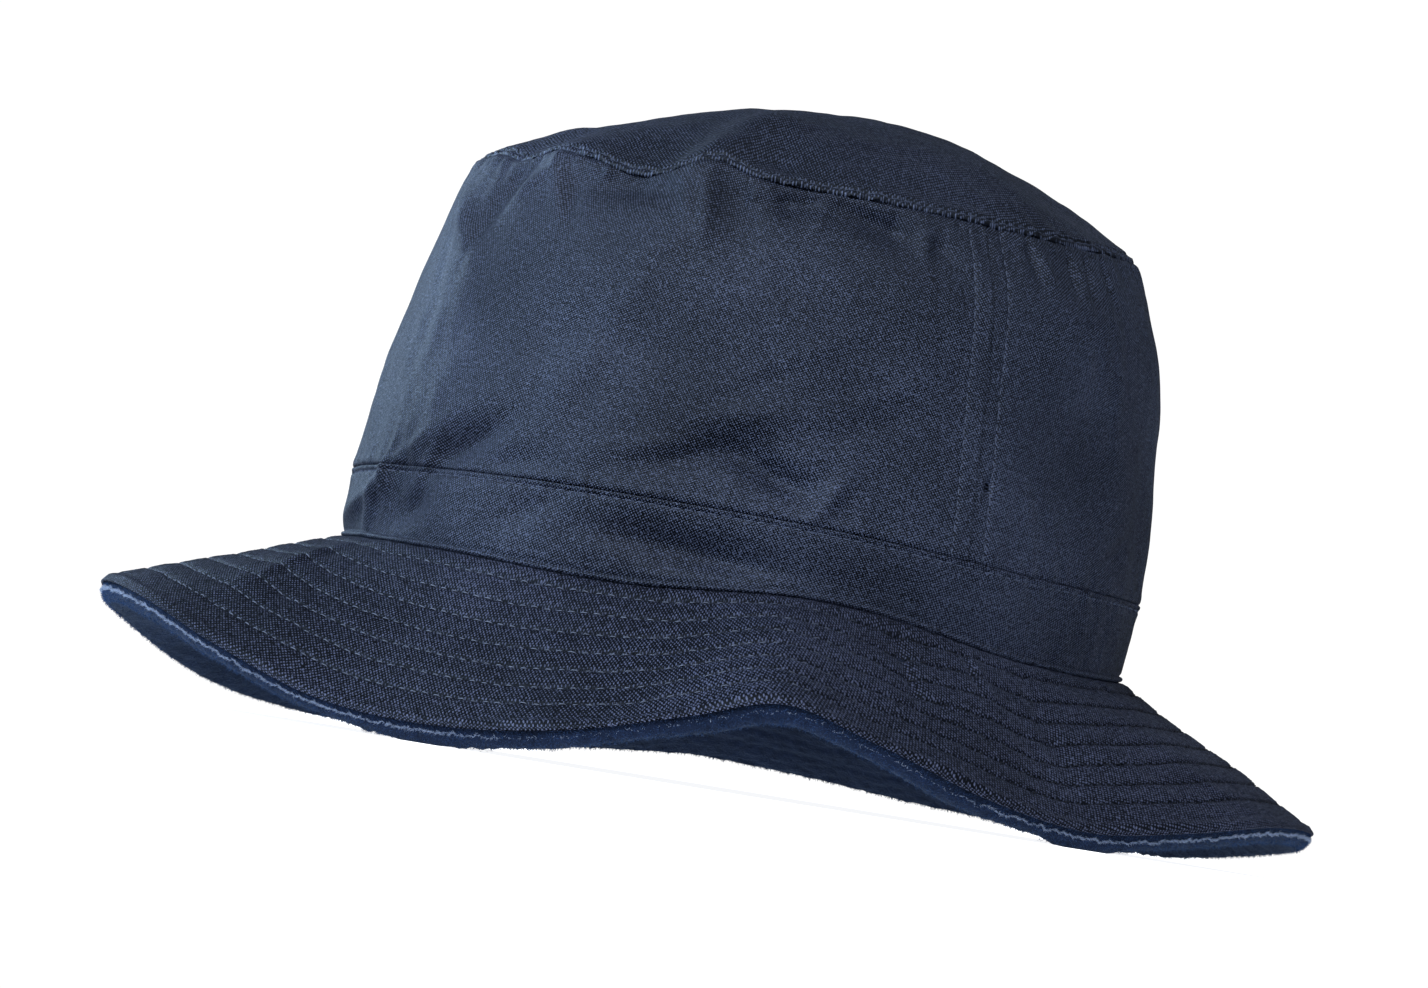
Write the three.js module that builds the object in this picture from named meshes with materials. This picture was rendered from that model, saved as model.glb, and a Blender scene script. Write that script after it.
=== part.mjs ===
// Rain hat with a full brim, built as the real one is sewn: a crown top, two
// crown side panels, a band, and a brim of two layers, a quilted shell above
// and a thick pile lining below. Sizes are in millimetres, +Z is up, the hat
// stands on z = 0, and -X is its front.
import * as THREE from 'three';

// ---------------------------------------------------------------- sizes
const SEAM_HALF_LENGTH = 100;   // the oval where the brim is sewn on
const SEAM_HALF_WIDTH = 87;
const BRIM_WIDTH = 62;          // along the cloth, from that seam to the edge
const BAND_PART = 0.18;         // the band's share of the side, from the brim up
const CLOTH = 1.6;              // crown wall
const BAND_CLOTH = 1.8;         // band, two layers
const SHELL_CLOTH = 1.2;        // brim's quilted upper layer
const PILE = 5.0;               // brim's lining, pile included
const GAP = 0.3;                // between two pieces
const BAND_TUCK = 5.5;          // how far the band's hem goes below the brim seam
const DOME_HEIGHT = 25;         // crown top above its seam
const DOME_X = 10.7;            // its crest, off the middle
const TOP_Z = 148.7;            // middle height of the crown top's seam
const PRESS = 1.8;              // pile lower than this lies flat on the floor
const SIDE_SEAMS = [57, 302];   // degrees round the oval, 0 at +X, 270 at -Y
const STEP = 5;                 // degrees between two columns of the walls
const FIRST = 2;                // the first column
const MIDDLE = [2.15, 2.34];    // puts the middle of the hat's outline on the origin

// ---------------------------------------------------------------- tables
// Side of the crown, a row for each section round the oval. The z columns are
// heights above the floor, the out columns are measured square from the oval.
const SECTION_COLUMNS = ['seamZ', 'bandZ', 'topZ', 'bandOut', 'bellyOut', 'shoulderOut', 'topOut'];
const SECTIONS = [
  // deg
  [0, 43.0, 62.9, 148.6, 2.4, 0.6, -3.8, -12.7],
  [45, 46.1, 64.2, 148.7, 0.9, -2.2, -7.4, -15.5],
  [90, 47.3, 66.0, 149.0, 0.5, -3.0, -8.0, -16.0],
  [135, 45.6, 64.8, 149.3, 0.5, -4.0, -9.0, -17.0],
  [180, 47.8, 65.3, 147.3, 0.0, -4.8, -11.7, -18.3],
  [225, 47.2, 67.2, 149.4, 0.6, -3.4, -8.5, -17.4],
  [254, 45.6, 67.0, 148.7, 0.9, -2.5, -7.7, -16.2],
  [282, 48.9, 66.2, 148.0, 1.3, -1.6, -6.7, -15.3],
  [315, 42.7, 63.4, 147.0, 1.9, -0.6, -4.8, -14.7],
];
const SECTION_AT = [0, BAND_PART, 0.50, 0.82, 1];   // where the out columns stand

// Brim's edge: height of the shell's edge, and how much the cloth flares.
const EDGE_COLUMNS = ['edgeZ', 'flareDeg'];
const EDGE = [
  // deg
  [0, 12.4, 0.0],
  [34, 5.2, 3.0],
  [60, 8.0, 4.0],
  [90, 12.5, 4.0],
  [122, 5.2, 5.0],
  [150, 9.5, 2.4],
  [180, 26.6, 0.0],
  [204, 25.0, 3.4],
  [216, 16.4, 5.5],
  [228, 7.8, 8.0],
  [242, 5.4, 8.0],
  [257, 9.8, 6.5],
  [268, 17.6, 5.0],
  [275, 23.2, 3.6],
  [285, 17.6, 3.4],
  [297, 9.2, 4.6],
  [310, 5.2, 6.5],
  [322, 8.9, 5.0],
  [334, 13.3, 3.0],
  [350, 13.6, 0.8],
];

// How square the dome's shoulder is.
const DOME_COLUMNS = ['power'];
const DOME = [[0, 2.1], [90, 2.4], [180, 1.8], [270, 2.2]];

// Folds of the crown's side: out is a ridge, in is a dent. The lean is from
// upright towards a larger degree.
const FOLD_COLUMNS = ['deg', 'z', 'halfRun', 'halfWide', 'lean', 'out'];
const FOLDS = [
  [206.5, 132, 13, 5.5, -50, 1.8],
  [219, 140, 9, 4.5, 51, 1.6],
  [259.5, 140, 9, 5, -25, -3.0],
  [281.5, 141, 20, 5.5, 104, -2.8],
  [264, 85, 17, 7, 71, -1.9],
  [274.5, 79.5, 15, 6, 104, -2.0],
  [267, 59.5, 22, 5, 92, -2.0],
  [223, 73, 15, 6, 60, -2.2],
  [194, 56, 20, 5, 75, 1.2],
  [322, 96, 26, 12, 8, -1.2],
  [345, 84, 22, 9, -14, -1.4],
  [24, 112, 22, 8, 30, -1.8],
  [62, 128, 17, 7, -40, -2.2],
  [88, 84, 20, 8, 76, -2.0],
  [116, 134, 15, 6, 96, -2.2],
  [140, 92, 20, 8, 50, -1.8],
  [168, 116, 20, 8, -24, -1.6],
];

// Rise and fall of the crown top's seam.
const WAVE_COLUMNS = ['deg', 'halfDeg', 'lift'];
const WAVES = [
  [214, 6, -2.3], [223, 5.5, 0.9], [242, 8, -3.2], [255, 6, 3.4],
  [20, 9, 1.4], [76, 9, -1.8], [100, 8, 1.6], [133, 8, -1.8], [160, 8, 1.4],
];

// Folds of the crown top, from its seam (rho 1) to its crest (rho 0), with the
// lean from the line that runs to the crest.
const TOP_FOLD_COLUMNS = ['deg', 'rho', 'halfRun', 'halfWide', 'lean', 'out'];
const TOP_FOLDS = [
  [253.5, 0.72, 24, 6, 0, 1.7],
  [264, 0.90, 12, 6, 0, -1.3],
  [213, 0.80, 22, 6, 78, 1.1],
  [60, 0.78, 20, 8, 10, 1.4],
  [120, 0.72, 22, 8, -16, -1.4],
  [320, 0.74, 20, 8, 20, 0.9],
];

// Folds of the brim, from its seam (q 0) to its edge (q 1).
const BRIM_FOLD_COLUMNS = ['deg', 'q', 'halfRun', 'halfWide', 'lean', 'out'];
const BRIM_FOLDS = [
  [207, 0.42, 22, 8, 8, 1.4],
  [292.5, 0.32, 14, 6, 0, -1.3],
  [303, 0.25, 12, 6, 0, 0.9],
  [311, 0.45, 22, 8, -8, -1.1],
  [75, 0.40, 20, 9, 6, -1.2],
  [146, 0.38, 20, 9, -6, 1.2],
];

// ---------------------------------------------------------------- curves
const rad = (deg) => deg * Math.PI / 180;
const turn = (deg) => ((deg % 360) + 360) % 360;
const smooth = (x) => { const u = Math.min(1, Math.max(0, x)); return u * u * (3 - 2 * u); };

function hermite(u, y0, y1, m0, m1) {
  const u2 = u * u, u3 = u2 * u;
  return (2 * u3 - 3 * u2 + 1) * y0 + (u3 - 2 * u2 + u) * m0 + (3 * u2 - 2 * u3) * y1 + (u3 - u2) * m1;
}

// A table's column as a smooth closed curve round the oval.
function around(rows, column, deg) {
  const n = rows.length, d = turn(deg);
  let i = n - 1;
  for (let k = 0; k < n; k++) if (rows[k][0] <= d) i = k;
  const at = (k) => rows[(k + n) % n];
  const span = (k) => turn(at(k + 1)[0] - at(k)[0]);
  const rise = (k) => (at(k + 1)[column] - at(k)[column]) / span(k);
  const slope = (k) => (rise(k - 1) * span(k) + rise(k) * span(k - 1)) / (span(k - 1) + span(k));
  return hermite(turn(d - at(i)[0]) / span(i), at(i)[column], at(i + 1)[column],
    slope(i) * span(i), slope(i + 1) * span(i));
}

function row(rows, columns, deg) {
  return Object.fromEntries(columns.map((name, k) => [name, around(rows, k + 1, deg)]));
}

// Smooth open curve through a few values, used up the crown's side.
function through(at, values, t) {
  const n = at.length;
  const rise = (k) => (values[k + 1] - values[k]) / (at[k + 1] - at[k]);
  const slope = (k) => {
    if (k === 0) return rise(0);
    if (k === n - 1) return rise(n - 2) * 1.35;
    const a = at[k] - at[k - 1], b = at[k + 1] - at[k];
    return (rise(k - 1) * b + rise(k) * a) / (a + b);
  };
  let k = 0;
  while (k < n - 2 && t >= at[k + 1]) k++;
  const h = at[k + 1] - at[k];
  return hermite((t - at[k]) / h, values[k], values[k + 1], slope(k) * h, slope(k + 1) * h);
}

// ---------------------------------------------------------------- form
// Unit vector square to the seam's oval.
function outward(deg) {
  return new THREE.Vector3(Math.cos(rad(deg)) / SEAM_HALF_LENGTH, Math.sin(rad(deg)) / SEAM_HALF_WIDTH, 0).normalize();
}

function oval(deg, out, z) {
  return new THREE.Vector3(SEAM_HALF_LENGTH * Math.cos(rad(deg)), SEAM_HALF_WIDTH * Math.sin(rad(deg)), z)
    .addScaledVector(outward(deg), out);
}

// Sum of a fold table at a place: over is the distance round, up the distance along.
function folds(table, place) {
  let sum = 0;
  for (const f of table) {
    const { over, up } = place(f);
    const c = Math.cos(rad(f[4])), s = Math.sin(rad(f[4]));
    const along = (up * c + over * s) / f[2], across = (over * c - up * s) / f[3];
    sum += f[5] * Math.exp(-along * along - across * across);
  }
  return sum;
}
const apart = (deg, other) => turn(deg - other + 180) - 180;
const MEAN_RADIUS = 92;

function wave(deg) {
  return WAVES.reduce((sum, w) => sum + w[2] * Math.exp(-((apart(deg, w[0]) / w[1]) ** 2)), 0);
}

// Crown's side: t 0 at the brim seam, BAND_PART at the band's top, 1 at the top.
function wall(deg, t) {
  const s = row(SECTIONS, SECTION_COLUMNS, deg);
  const out = through(SECTION_AT, [0, s.bandOut, s.bellyOut, s.shoulderOut, s.topOut], t);
  const z = t < BAND_PART ? s.seamZ + (s.bandZ - s.seamZ) * t / BAND_PART
    : s.bandZ + (s.topZ - s.bandZ) * (t - BAND_PART) / (1 - BAND_PART);
  const fold = smooth(t / 0.06) * folds(FOLDS, (f) => ({ over: rad(apart(deg, f[0])) * MEAN_RADIUS, up: z - f[1] }));
  return oval(deg, out + fold, z + wave(deg) * Math.exp(-(((s.topZ - z) / 18) ** 2)));
}

// Crown top: rho 1 at its seam to 0 at its crest.
function crest(deg, rho) {
  const edge = wall(deg, 1);
  const s = row(SECTIONS, SECTION_COLUMNS, deg);
  const plain = oval(deg, s.topOut, s.topZ);
  const power = row(DOME, DOME_COLUMNS, deg).power;
  const p = new THREE.Vector3(
    DOME_X + (plain.x - DOME_X) * rho, plain.y * rho,
    TOP_Z + (plain.z - TOP_Z) * rho * rho + DOME_HEIGHT * (1 - rho ** power));
  const reach = Math.hypot(plain.x - DOME_X, plain.y);
  p.addScaledVector(edge.sub(plain), Math.exp(-(((1 - rho) * reach / 17) ** 2)));
  p.z += smooth((1 - rho) / 0.12) * folds(TOP_FOLDS,
    (f) => ({ over: rad(apart(deg, f[0])) * rho * reach, up: (f[1] - rho) * reach }));
  return p;
}

// Brim's upper face: q 0 at the seam to 1 at the edge. The cloth keeps its width.
function brim(deg, q) {
  const s = row(SECTIONS, SECTION_COLUMNS, deg), e = row(EDGE, EDGE_COLUMNS, deg);
  const flare = rad(Math.max(e.flareDeg, 0.01));
  const middle = Math.asin((s.seamZ - e.edgeZ) / (BRIM_WIDTH * Math.sin(flare) / flare));
  const start = middle + flare, here = start - 2 * flare * q;
  const reach = BRIM_WIDTH * (Math.sin(start) - Math.sin(here)) / (2 * flare);
  const fall = BRIM_WIDTH * (Math.cos(here) - Math.cos(start)) / (2 * flare);
  const p = oval(deg, reach + GAP, s.seamZ - fall);
  p.z += smooth(q / 0.12) * folds(BRIM_FOLDS,
    (f) => ({ over: rad(apart(deg, f[0])) * (MEAN_RADIUS + reach), up: (q - f[1]) * BRIM_WIDTH }));
  return p;
}

// Normal of a surface given as a function of a degree and a share.
function normal(surface, deg, v, up) {
  const dv = 0.01, lo = Math.max(0.001, v - dv), hi = Math.min(1, v + dv);
  const across = surface(deg + 0.4, v).sub(surface(deg - 0.4, v));
  const along = surface(deg, hi).sub(surface(deg, lo));
  const n = across.cross(along).normalize();
  return n.z * up < 0 ? n.negate() : n;
}

// ---------------------------------------------------------------- solids
// A closed sheet from two grids of points, front[j][i] and back[j][i]. It is
// closed round i if it wraps, and gathered to one point past the last row if
// tips are given.
function sheetGeometry(front, back, wraps, tips) {
  const rows = front.length, cols = front[0].length;
  const points = [], faces = [];
  const put = (grid) => grid.map((line) => line.map((p) => points.push(p) - 1));
  const f = put(front), b = put(back);
  const tri = (a, c, d) => faces.push(a, c, d);
  const quad = (a, c, d, e) => {
    if (points[a].distanceTo(points[d]) <= points[c].distanceTo(points[e])) { tri(a, c, d); tri(a, d, e); }
    else { tri(a, c, e); tri(c, d, e); }
  };
  const last = wraps ? cols : cols - 1;
  for (let i = 0; i < last; i++) {
    const k = (i + 1) % cols;
    for (let j = 0; j < rows - 1; j++) {
      quad(f[j][i], f[j][k], f[j + 1][k], f[j + 1][i]);
      quad(b[j][k], b[j][i], b[j + 1][i], b[j + 1][k]);
    }
    quad(b[0][i], b[0][k], f[0][k], f[0][i]);
    if (!tips) quad(f[rows - 1][i], f[rows - 1][k], b[rows - 1][k], b[rows - 1][i]);
  }
  if (!wraps) {
    for (let j = 0; j < rows - 1; j++) {
      quad(b[j][0], f[j][0], f[j + 1][0], b[j + 1][0]);
      quad(f[j][cols - 1], b[j][cols - 1], b[j + 1][cols - 1], f[j + 1][cols - 1]);
    }
  }
  if (tips) {
    const front0 = points.push(tips[0]) - 1, back0 = points.push(tips[1]) - 1;
    for (let i = 0; i < last; i++) {
      const k = (i + 1) % cols;
      tri(f[rows - 1][i], f[rows - 1][k], front0);
      tri(b[rows - 1][k], b[rows - 1][i], back0);
    }
  }
  let volume = 0;
  for (let i = 0; i < faces.length; i += 3) {
    volume += points[faces[i]].dot(points[faces[i + 1]].clone().cross(points[faces[i + 2]]));
  }
  if (volume < 0) for (let i = 0; i < faces.length; i += 3) [faces[i + 1], faces[i + 2]] = [faces[i + 2], faces[i + 1]];
  const geometry = new THREE.BufferGeometry();
  geometry.setAttribute('position', new THREE.Float32BufferAttribute(points.flatMap((p) => p.toArray()), 3));
  geometry.setIndex(faces);
  geometry.computeVertexNormals();
  return geometry;
}

const cloth = (color, roughness) => new THREE.MeshStandardMaterial({ color, roughness, metalness: 0 });
const NAVY = cloth(0x1d2a49, 0.55);
const QUILTED = cloth(0x1b2743, 0.6);
const FLEECE = cloth(0x2a3f6e, 0.95);
const group = new THREE.Group();
group.position.set(MIDDLE[0], MIDDLE[1], 0);
function piece(name, geometry, material) {
  const mesh = new THREE.Mesh(geometry, material);
  mesh.name = name;
  group.add(mesh);
}

const circle = Array.from({ length: 360 / STEP }, (_, i) => FIRST + i * STEP);
const shares = (from, to, parts) => Array.from({ length: parts + 1 }, (_, j) => from + (to - from) * j / parts);
const grid = (ts, degs, make) => ts.map((t) => degs.map((deg) => make(deg, t)));
const inward = (deg, p, by) => p.clone().addScaledVector(outward(deg), -by);

// Crown top: its edge face is level, so that it sits on the side panels.
{
  const rhos = [1, 0.95, 0.87, 0.74, 0.54, 0.28];
  const lift = (p) => { p.z += GAP / 2; return p; };
  const under = (deg, rho) => {
    const p = crest(deg, rho), n = normal(crest, deg, rho, 1);
    const level = outward(deg).negate(), square = n.clone().negate();
    const way = level.lerp(square, smooth((1 - rho) / 0.12)).normalize();
    return lift(p.addScaledVector(way, CLOTH / Math.max(0.4, way.dot(square))));
  };
  const middle = crest(0, 0);
  const front = grid(rhos, circle, (deg, rho) => lift(crest(deg, rho)));
  const back = grid(rhos, circle, under);
  piece('crown_top', sheetGeometry(front, back, true,
    [middle.clone().setZ(middle.z + GAP / 2), middle.clone().setZ(middle.z + GAP / 2 - CLOTH)]), NAVY);
}

// Crown side: two panels that meet at the side seams.
{
  const hair = 0.0018;                           // half a gap, as a share of the side
  const ts = [BAND_PART + hair, 0.29, 0.42, 0.56, 0.70, 0.82, 0.92, 1 - hair];
  const slit = 0.1;                              // half a gap, in degrees
  const panel = (from, to) => {
    const degs = [from + slit];
    for (let deg = from + STEP; deg < to - 1; deg += STEP) degs.push(deg);
    degs.push(to - slit);
    return sheetGeometry(grid(ts, degs, wall), grid(ts, degs, (deg, t) => inward(deg, wall(deg, t), CLOTH)), false);
  };
  piece('crown_front', panel(SIDE_SEAMS[0], SIDE_SEAMS[1]), NAVY);
  piece('crown_back', panel(SIDE_SEAMS[1], SIDE_SEAMS[0] + 360), NAVY);
}

// Band: its hem goes down inside the brim's inner edge.
{
  const ts = [-1, 0, 0.06, 0.12, BAND_PART - 0.0015];
  const face = (deg, t) => (t >= 0 ? wall(deg, t) : oval(deg, 0, wall(deg, 0).z - BAND_TUCK));
  piece('band', sheetGeometry(grid(ts, circle, face),
    grid(ts, circle, (deg, t) => inward(deg, face(deg, t), BAND_CLOTH)), true), NAVY);
}

// Brim: the layers lie square to the cloth, but are cut upright at the seam.
{
  const layer = (deg, q, depth) => {
    const p = brim(deg, q), square = normal(brim, deg, q, 1).negate();
    const down = new THREE.Vector3(0, 0, -1);
    const way = down.lerp(square, smooth(q / 0.16)).normalize();
    return p.addScaledVector(way, depth / way.dot(square));
  };
  const press = (p) => {
    if (p.z < PRESS) p.z = Math.max(0, 2 * p.z - PRESS);
    return p;
  };
  const qs = [...shares(0, 0.84, 4), 0.978, 1];
  const at = (depth) => grid(qs, circle, (deg, q) => layer(deg, q, depth));
  const floor = (lines) => lines.map((line) => line.map(press));
  piece('brim_shell', sheetGeometry(at(0), at(SHELL_CLOTH), true), QUILTED);
  piece('brim_lining', sheetGeometry(at(SHELL_CLOTH + GAP), floor(at(SHELL_CLOTH + GAP + PILE)), true), FLEECE);
}

export default group;
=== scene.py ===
import math
import bpy
import numpy as np
from mathutils import Matrix, Vector


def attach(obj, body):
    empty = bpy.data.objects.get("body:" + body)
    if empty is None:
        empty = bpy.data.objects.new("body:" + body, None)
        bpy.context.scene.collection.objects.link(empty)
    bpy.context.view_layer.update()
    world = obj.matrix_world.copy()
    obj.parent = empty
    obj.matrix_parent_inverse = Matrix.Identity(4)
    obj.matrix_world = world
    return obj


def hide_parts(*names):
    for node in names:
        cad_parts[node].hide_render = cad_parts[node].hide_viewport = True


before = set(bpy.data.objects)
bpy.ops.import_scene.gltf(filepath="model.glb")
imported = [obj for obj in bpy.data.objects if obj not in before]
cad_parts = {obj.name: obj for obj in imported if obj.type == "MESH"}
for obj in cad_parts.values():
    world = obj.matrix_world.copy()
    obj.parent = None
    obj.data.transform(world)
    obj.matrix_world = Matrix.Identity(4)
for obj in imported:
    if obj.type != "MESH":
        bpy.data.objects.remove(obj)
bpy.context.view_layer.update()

# ---------------------------------------------------------------- sizes, mm
A, B = 100.0, 87.0            # half axes of the oval where the brim is sewn on
BRIM = 62.0                   # brim's width along the cloth
BAND = 0.18                   # the band's share of the side
CLOTH, BAND_CLOTH, SHELL, PILE, GAP = 1.6, 1.8, 1.2, 5.0, 0.3
TUCK = 5.5
DOME_HEIGHT, DOME_X, TOP_Z = 25.0, 10.7, 148.7
PRESS = 1.8
SIDE_SEAMS = (57.0, 302.0)
MIDDLE = np.array([2.15, 2.34, 0.0])
MEAN_RADIUS = 92.0
ROW_FIRST, ROW_STEP, ROWS = 5.0, 7.6, 7      # rings of stitches on the brim
SEAM_LINE = 4.4               # stitches beside the side seams

# deg, seam z, band z, top z, band out, belly out, shoulder out, top out
SECTIONS = [
    (0, 43.0, 62.9, 148.6, 2.4, 0.6, -3.8, -12.7),
    (45, 46.1, 64.2, 148.7, 0.9, -2.2, -7.4, -15.5),
    (90, 47.3, 66.0, 149.0, 0.5, -3.0, -8.0, -16.0),
    (135, 45.6, 64.8, 149.3, 0.5, -4.0, -9.0, -17.0),
    (180, 47.8, 65.3, 147.3, 0.0, -4.8, -11.7, -18.3),
    (225, 47.2, 67.2, 149.4, 0.6, -3.4, -8.5, -17.4),
    (254, 45.6, 67.0, 148.7, 0.9, -2.5, -7.7, -16.2),
    (282, 48.9, 66.2, 148.0, 1.3, -1.6, -6.7, -15.3),
    (315, 42.7, 63.4, 147.0, 1.9, -0.6, -4.8, -14.7),
]
SECTION_AT = (0.0, BAND, 0.50, 0.82, 1.0)
# deg, edge z, flare
EDGE = [
    (0, 12.4, 0.0), (34, 5.2, 3.0), (60, 8.0, 4.0), (90, 12.5, 4.0), (122, 5.2, 5.0), (150, 9.5, 2.4),
    (180, 26.6, 0.0), (204, 25.0, 3.4), (216, 16.4, 5.5), (228, 7.8, 8.0), (242, 5.4, 8.0), (257, 9.8, 6.5),
    (268, 17.6, 5.0), (275, 23.2, 3.6), (285, 17.6, 3.4), (297, 9.2, 4.6), (310, 5.2, 6.5), (322, 8.9, 5.0),
    (334, 13.3, 3.0), (350, 13.6, 0.8),
]
DOME = [(0, 2.1), (90, 2.4), (180, 1.8), (270, 2.2)]
# Folds of the crown's side: deg, z, half run, half width, lean from upright, out
FOLDS = [
    (206.5, 132, 13, 5.5, -50, 1.8), (219, 140, 9, 4.5, 51, 1.6), (259.5, 140, 9, 5, -25, -3.0),
    (281.5, 141, 20, 5.5, 104, -2.8), (264, 82, 17, 7, 71, -1.6), (273.5, 77, 15, 6, 104, -2.3),
    (263, 56.0, 20, 5, 93, -2.5), (223, 73, 15, 6, 60, -2.2), (194, 56, 20, 5, 75, 1.2),
    (322, 96, 26, 12, 8, -1.2), (345, 84, 22, 9, -14, -1.4), (24, 112, 22, 8, 30, -1.8),
    (62, 128, 17, 7, -40, -2.2), (88, 84, 20, 8, 76, -2.0), (116, 134, 15, 6, 96, -2.2),
    (140, 92, 20, 8, 50, -1.8), (168, 116, 20, 8, -24, -1.6),
]
# Narrow creases of the side, too fine for the CAD walls, with the same columns
CREASES = [
    (222, 141, 8, 2.0, 52, 0.9), (228, 140, 8, 2.2, -30, 0.9), (232, 138, 8, 3.0, -20, -0.9),
    (207, 130, 14, 2.6, -52, 1.0), (203, 120, 12, 3.0, -30, -0.8), (214, 128, 10, 2.4, 20, -0.7),
    (206.8, 66, 9, 1.6, 0, 0.9), (216, 67, 8, 1.6, 27, 0.7), (211, 66, 9, 2.2, 10, -0.7),
    (200, 58, 14, 2.2, 72, 0.8), (256, 139, 8, 2.0, -10, 1.0), (291, 139, 4, 2.2, 10, 1.3),
    (268, 143, 5, 1.8, -20, -0.8), (274, 142, 6, 1.8, 20, 0.7), (286, 142.5, 5, 1.6, 14, -0.9),
    (279.5, 73, 8, 2.6, 35, 0.9), (257, 80, 14, 2.8, 78, 0.8), (268, 90, 16, 3.2, 76, 0.7),
    (262, 55, 16, 2.4, 86, 0.7), (246, 110, 30, 5, 24, 0.5), (290, 112, 26, 5, -12, 0.4),
    (304.3, 83, 1.7, 0.7, 4, -2.2), (330, 120, 22, 3.5, -10, 0.5), (336, 74, 12, 3, 60, -0.7),
    (20, 96, 16, 3, 60, 0.7), (40, 120, 14, 3, -40, 0.8), (74, 104, 18, 3, 30, -0.7),
    (100, 124, 16, 3, 70, 0.8), (128, 110, 18, 3.5, -30, 0.7), (150, 80, 16, 3, 50, 0.8),
    (176, 96, 18, 3, 20, -0.7), (190, 84, 16, 3, -40, 0.6),
    (269, 143.2, 9, 2.6, 82, -1.7), (283, 141.6, 10, 2.8, 104, -1.8), (293.5, 139, 4, 2.0, 122, -1.3),
    (261.5, 142, 5, 2.6, -30, -1.0), (262.5, 79.4, 13, 3.4, 70, -1.6), (272.4, 76.6, 11, 3.4, 112, -2.6),
    (281, 73, 6, 2.0, 28, 1.3), (264, 55.0, 16, 3.2, 93, -2.0), (238, 60, 9, 3, 60, -0.6),
    (214, 56.5, 8, 3.6, 60, -1.8), (203.5, 58, 9, 2.6, 30, 1.4), (241, 142.3, 15, 3.8, 90, -2.1), (217, 139.5, 10, 4.2, 40, -2.4),
    (209.5, 68.5, 19, 2.4, 57, 0.9), (231, 69.5, 11, 3.4, 76, -1.3), (318, 131, 15, 6, 92, 1.2),
    (223.4, 72.6, 13, 3.5, 61, -1.9), (286, 100, 14, 2.2, 62, 0.35), (276, 108, 16, 2.4, 58, 0.4),
    (311, 140.5, 5, 1.3, -8, -1.5), (313.5, 140, 5, 1.6, -8, 0.8), (320, 139.5, 6, 1.3, 10, -1.6),
    (322.3, 139.5, 5, 1.3, 12, 0.8), (324.6, 139.5, 6, 1.3, 14, -1.5), (330.5, 139.5, 6, 1.5, 4, -1.3),
    (306.5, 139.5, 4, 1.5, 0, -0.6), (252, 142, 6, 1.6, -30, 0.6), (262.5, 143, 4, 1.2, 10, 0.7),
    (270, 100, 16, 2.4, 55, -0.35), (285, 92, 12, 2.2, 66, -0.35), (250, 128, 16, 2.6, 66, 0.35),
]
# Narrow creases of the brim: deg, q, half run, half width, lean, out
PINCHES = [
    (292.6, 0.28, 12, 1.2, 0, -0.95), (294.6, 0.30, 12, 1.8, -3, 0.55), (295.6, 0.465, 8, 1.2, 72, -0.75),
    (303.0, 0.20, 8, 1.1, 0, -0.85), (304.4, 0.21, 8, 1.5, 0, 0.5), (310.4, 0.45, 18, 2.2, -6, 0.5),
    (313.0, 0.45, 18, 2.6, -6, -0.45), (206.4, 0.32, 15, 1.8, 8, 0.55), (208.6, 0.34, 15, 2.4, 8, -0.35),
    (335.5, 0.08, 4, 1.6, 20, -0.6), (262, 0.16, 7, 2.2, 30, -0.4), (268, 0.55, 12, 3.0, 20, 0.3),
    (226, 0.60, 14, 3.0, -30, 0.3), (244, 0.35, 12, 3.0, 40, -0.3), (322, 0.60, 14, 3.0, 25, 0.35),
    (20, 0.35, 14, 2.4, 10, 0.45), (52, 0.50, 16, 2.6, -12, -0.45), (84, 0.30, 12, 2.0, 8, 0.4),
    (112, 0.55, 16, 2.6, 14, 0.45), (133, 0.30, 12, 2.0, -8, -0.4), (168, 0.45, 14, 2.6, 10, 0.4),
]
WAVES = [
    (214, 6, -2.3), (223, 5.5, 0.9), (242, 8, -3.2), (255, 6, 3.4),
    (20, 9, 1.4), (76, 9, -1.8), (100, 8, 1.6), (133, 8, -1.8), (160, 8, 1.4),
]
# Folds of the crown top: deg, rho, half run, half width, lean, out
TOP_FOLDS = [
    (253.5, 0.72, 24, 6, 0, 1.7), (264, 0.90, 12, 6, 0, -1.3), (213, 0.80, 22, 6, 78, 1.1),
    (60, 0.78, 20, 8, 10, 1.4), (120, 0.72, 22, 8, -16, -1.4), (320, 0.74, 20, 8, 20, 0.9),
]
# Folds of the brim: deg, q, half run, half width, lean, out
BRIM_FOLDS = [
    (207, 0.42, 22, 8, 8, 1.4), (292.5, 0.32, 14, 6, 0, -1.3), (303, 0.25, 12, 6, 0, 0.9),
    (311, 0.45, 22, 8, -8, -1.1), (75, 0.40, 20, 9, 6, -1.2), (146, 0.38, 20, 9, -6, 1.2),
]

# ---------------------------------------------------------------- curves


def apart(deg, other):
    return (deg - other + 180.0) % 360.0 - 180.0


def smooth(x):
    u = np.clip(x, 0.0, 1.0)
    return u * u * (3 - 2 * u)


def bell(x):
    return np.exp(-x * x)


def hermite(u, y0, y1, m0, m1):
    u2, u3 = u * u, u * u * u
    return (2 * u3 - 3 * u2 + 1) * y0 + (u3 - 2 * u2 + u) * m0 + (3 * u2 - 2 * u3) * y1 + (u3 - u2) * m1


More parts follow.
